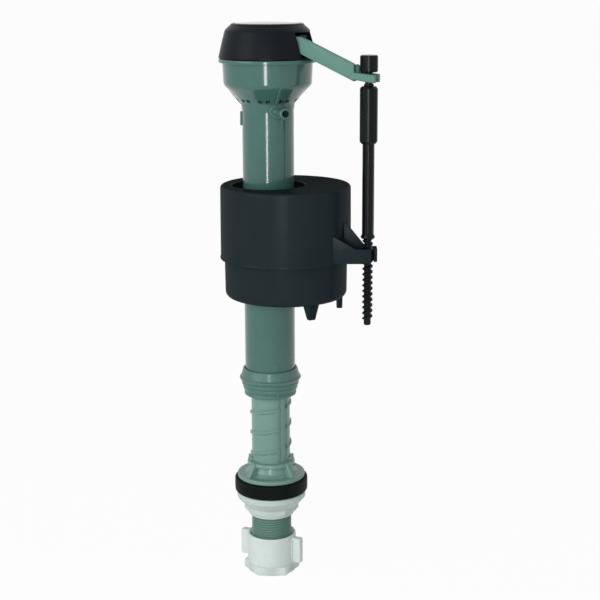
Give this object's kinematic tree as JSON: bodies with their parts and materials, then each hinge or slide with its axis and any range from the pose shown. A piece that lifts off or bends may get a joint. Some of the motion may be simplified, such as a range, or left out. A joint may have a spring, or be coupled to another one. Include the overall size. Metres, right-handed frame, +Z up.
{
  "type": "toilet fill valve",
  "caption": "Upright toilet fill valve: threaded shank with nuts and washer, height-adjustable riser, float cup on an adjusting rod, and a capped diaphragm valve with float lever.",
  "frame": {"origin": "on the shank's axis, in the plane of the tank floor: the underside of the rubber shank washer", "axes": "+Z up along the riser, +X towards the side the float is offset to, the float lever leans from +X towards -Y"},
  "size_m": [0.0848, 0.0708, 0.3047],
  "materials": {
    "shank_washer": "matt black rubber",
    "inlet_shank": "grey-green moulded plastic",
    "lock_nut": "milky white nylon",
    "cone_washer": "matt black rubber",
    "coupling_nut": "milky white nylon",
    "lock_ring": "grey-green moulded plastic",
    "valve_body": "grey-green moulded plastic",
    "supply_tube": "pale grey-green plastic",
    "tube_seal": "matt black rubber",
    "valve_seat": "off-white plastic",
    "diaphragm": "matt black rubber",
    "diaphragm_insert": "off-white plastic",
    "pilot_plate": "black plastic",
    "cap": "blue-black plastic, satin",
    "lever_arm": "grey-green moulded plastic",
    "pilot_seal": "matt black rubber",
    "adjusting_rod": "black plastic, glossy",
    "float_shell": "blue-black plastic, satin",
    "float_base": "blue-black plastic, satin"
  },
  "bodies": {
    "shank": {"inlet_shank": "inlet_shank"},
    "washer": {"shank_washer": "shank_washer"},
    "lock_nut": {"lock_nut": "lock_nut"},
    "tail_washer": {"cone_washer": "cone_washer"},
    "coupling_nut": {"coupling_nut": "coupling_nut"},
    "riser": {"valve_body": "valve_body", "valve_seat": "valve_seat", "supply_tube": "supply_tube", "tube_seal": "tube_seal", "pilot_plate": "pilot_plate", "diaphragm": "diaphragm", "cap": "cap"},
    "lock_ring": {"lock_ring": "lock_ring"},
    "lever": {"lever_arm": "lever_arm", "pilot_seal": "pilot_seal"},
    "float": {"float_shell": "float_shell", "float_base": "float_base"},
    "rod": {"adjusting_rod": "adjusting_rod"},
    "insert": {"diaphragm_insert": "diaphragm_insert"}
  },
  "joints": [
    {"name": "nut_travel", "type": "slide", "parent": "shank", "child": "washer", "axis": [0, 0, 1], "range_m": [-0.00905, 0]},
    {"name": "lock_nut_turn", "type": "hinge", "parent": "washer", "child": "lock_nut", "pos_m": [0, 0, 0], "axis": [0, 0, 1], "range_deg": [-1800, 0]},
    {"name": "coupling_travel", "type": "slide", "parent": "shank", "child": "tail_washer", "axis": [0, 0, 1], "range_m": [-0.00905, 0]},
    {"name": "coupling_turn", "type": "hinge", "parent": "tail_washer", "child": "coupling_nut", "pos_m": [0, 0, 0], "axis": [0, 0, 1], "range_deg": [-1800, 0]},
    {"name": "height_adjust", "type": "slide", "parent": "shank", "child": "riser", "axis": [0, 0, 1], "range_m": [-0.03, 0.06]},
    {"name": "ring_turn", "type": "hinge", "parent": "riser", "child": "lock_ring", "pos_m": [0, 0, 0], "axis": [0, 0, 1], "range_deg": [-924, 1847]},
    {"name": "lever_swing", "type": "hinge", "parent": "riser", "child": "lever", "pos_m": [0.01451, -0.00545, 0.2466], "axis": [-0.3515, -0.9362, 0], "range_deg": [0, 10]},
    {"name": "float_lift", "type": "slide", "parent": "riser", "child": "float", "axis": [0, 0, 1], "range_m": [0, 0.00704]},
    {"name": "seal_travel", "type": "slide", "parent": "riser", "child": "insert", "axis": [0, 0, 1], "range_m": [-0.00131, 0], "deforming": ["diaphragm"]},
    {"name": "rod_turn", "type": "hinge", "parent": "float", "child": "rod", "pos_m": [0.0522, -0.0196, 0.17], "axis": [0, 0, 1], "continuous": true}
  ],
  "couplings": [
    {"joint": "lock_nut_turn", "follows": "nut_travel", "rad_per_m": 3471.4},
    {"joint": "coupling_turn", "follows": "coupling_travel", "rad_per_m": 3471.4},
    {"joint": "ring_turn", "follows": "height_adjust", "rad_per_m": 537.02},
    {"joint": "lever_swing", "follows": "float_lift", "rad_per_m": 24.77},
    {"joint": "seal_travel", "follows": "float_lift", "ratio": -0.1846}
  ]
}
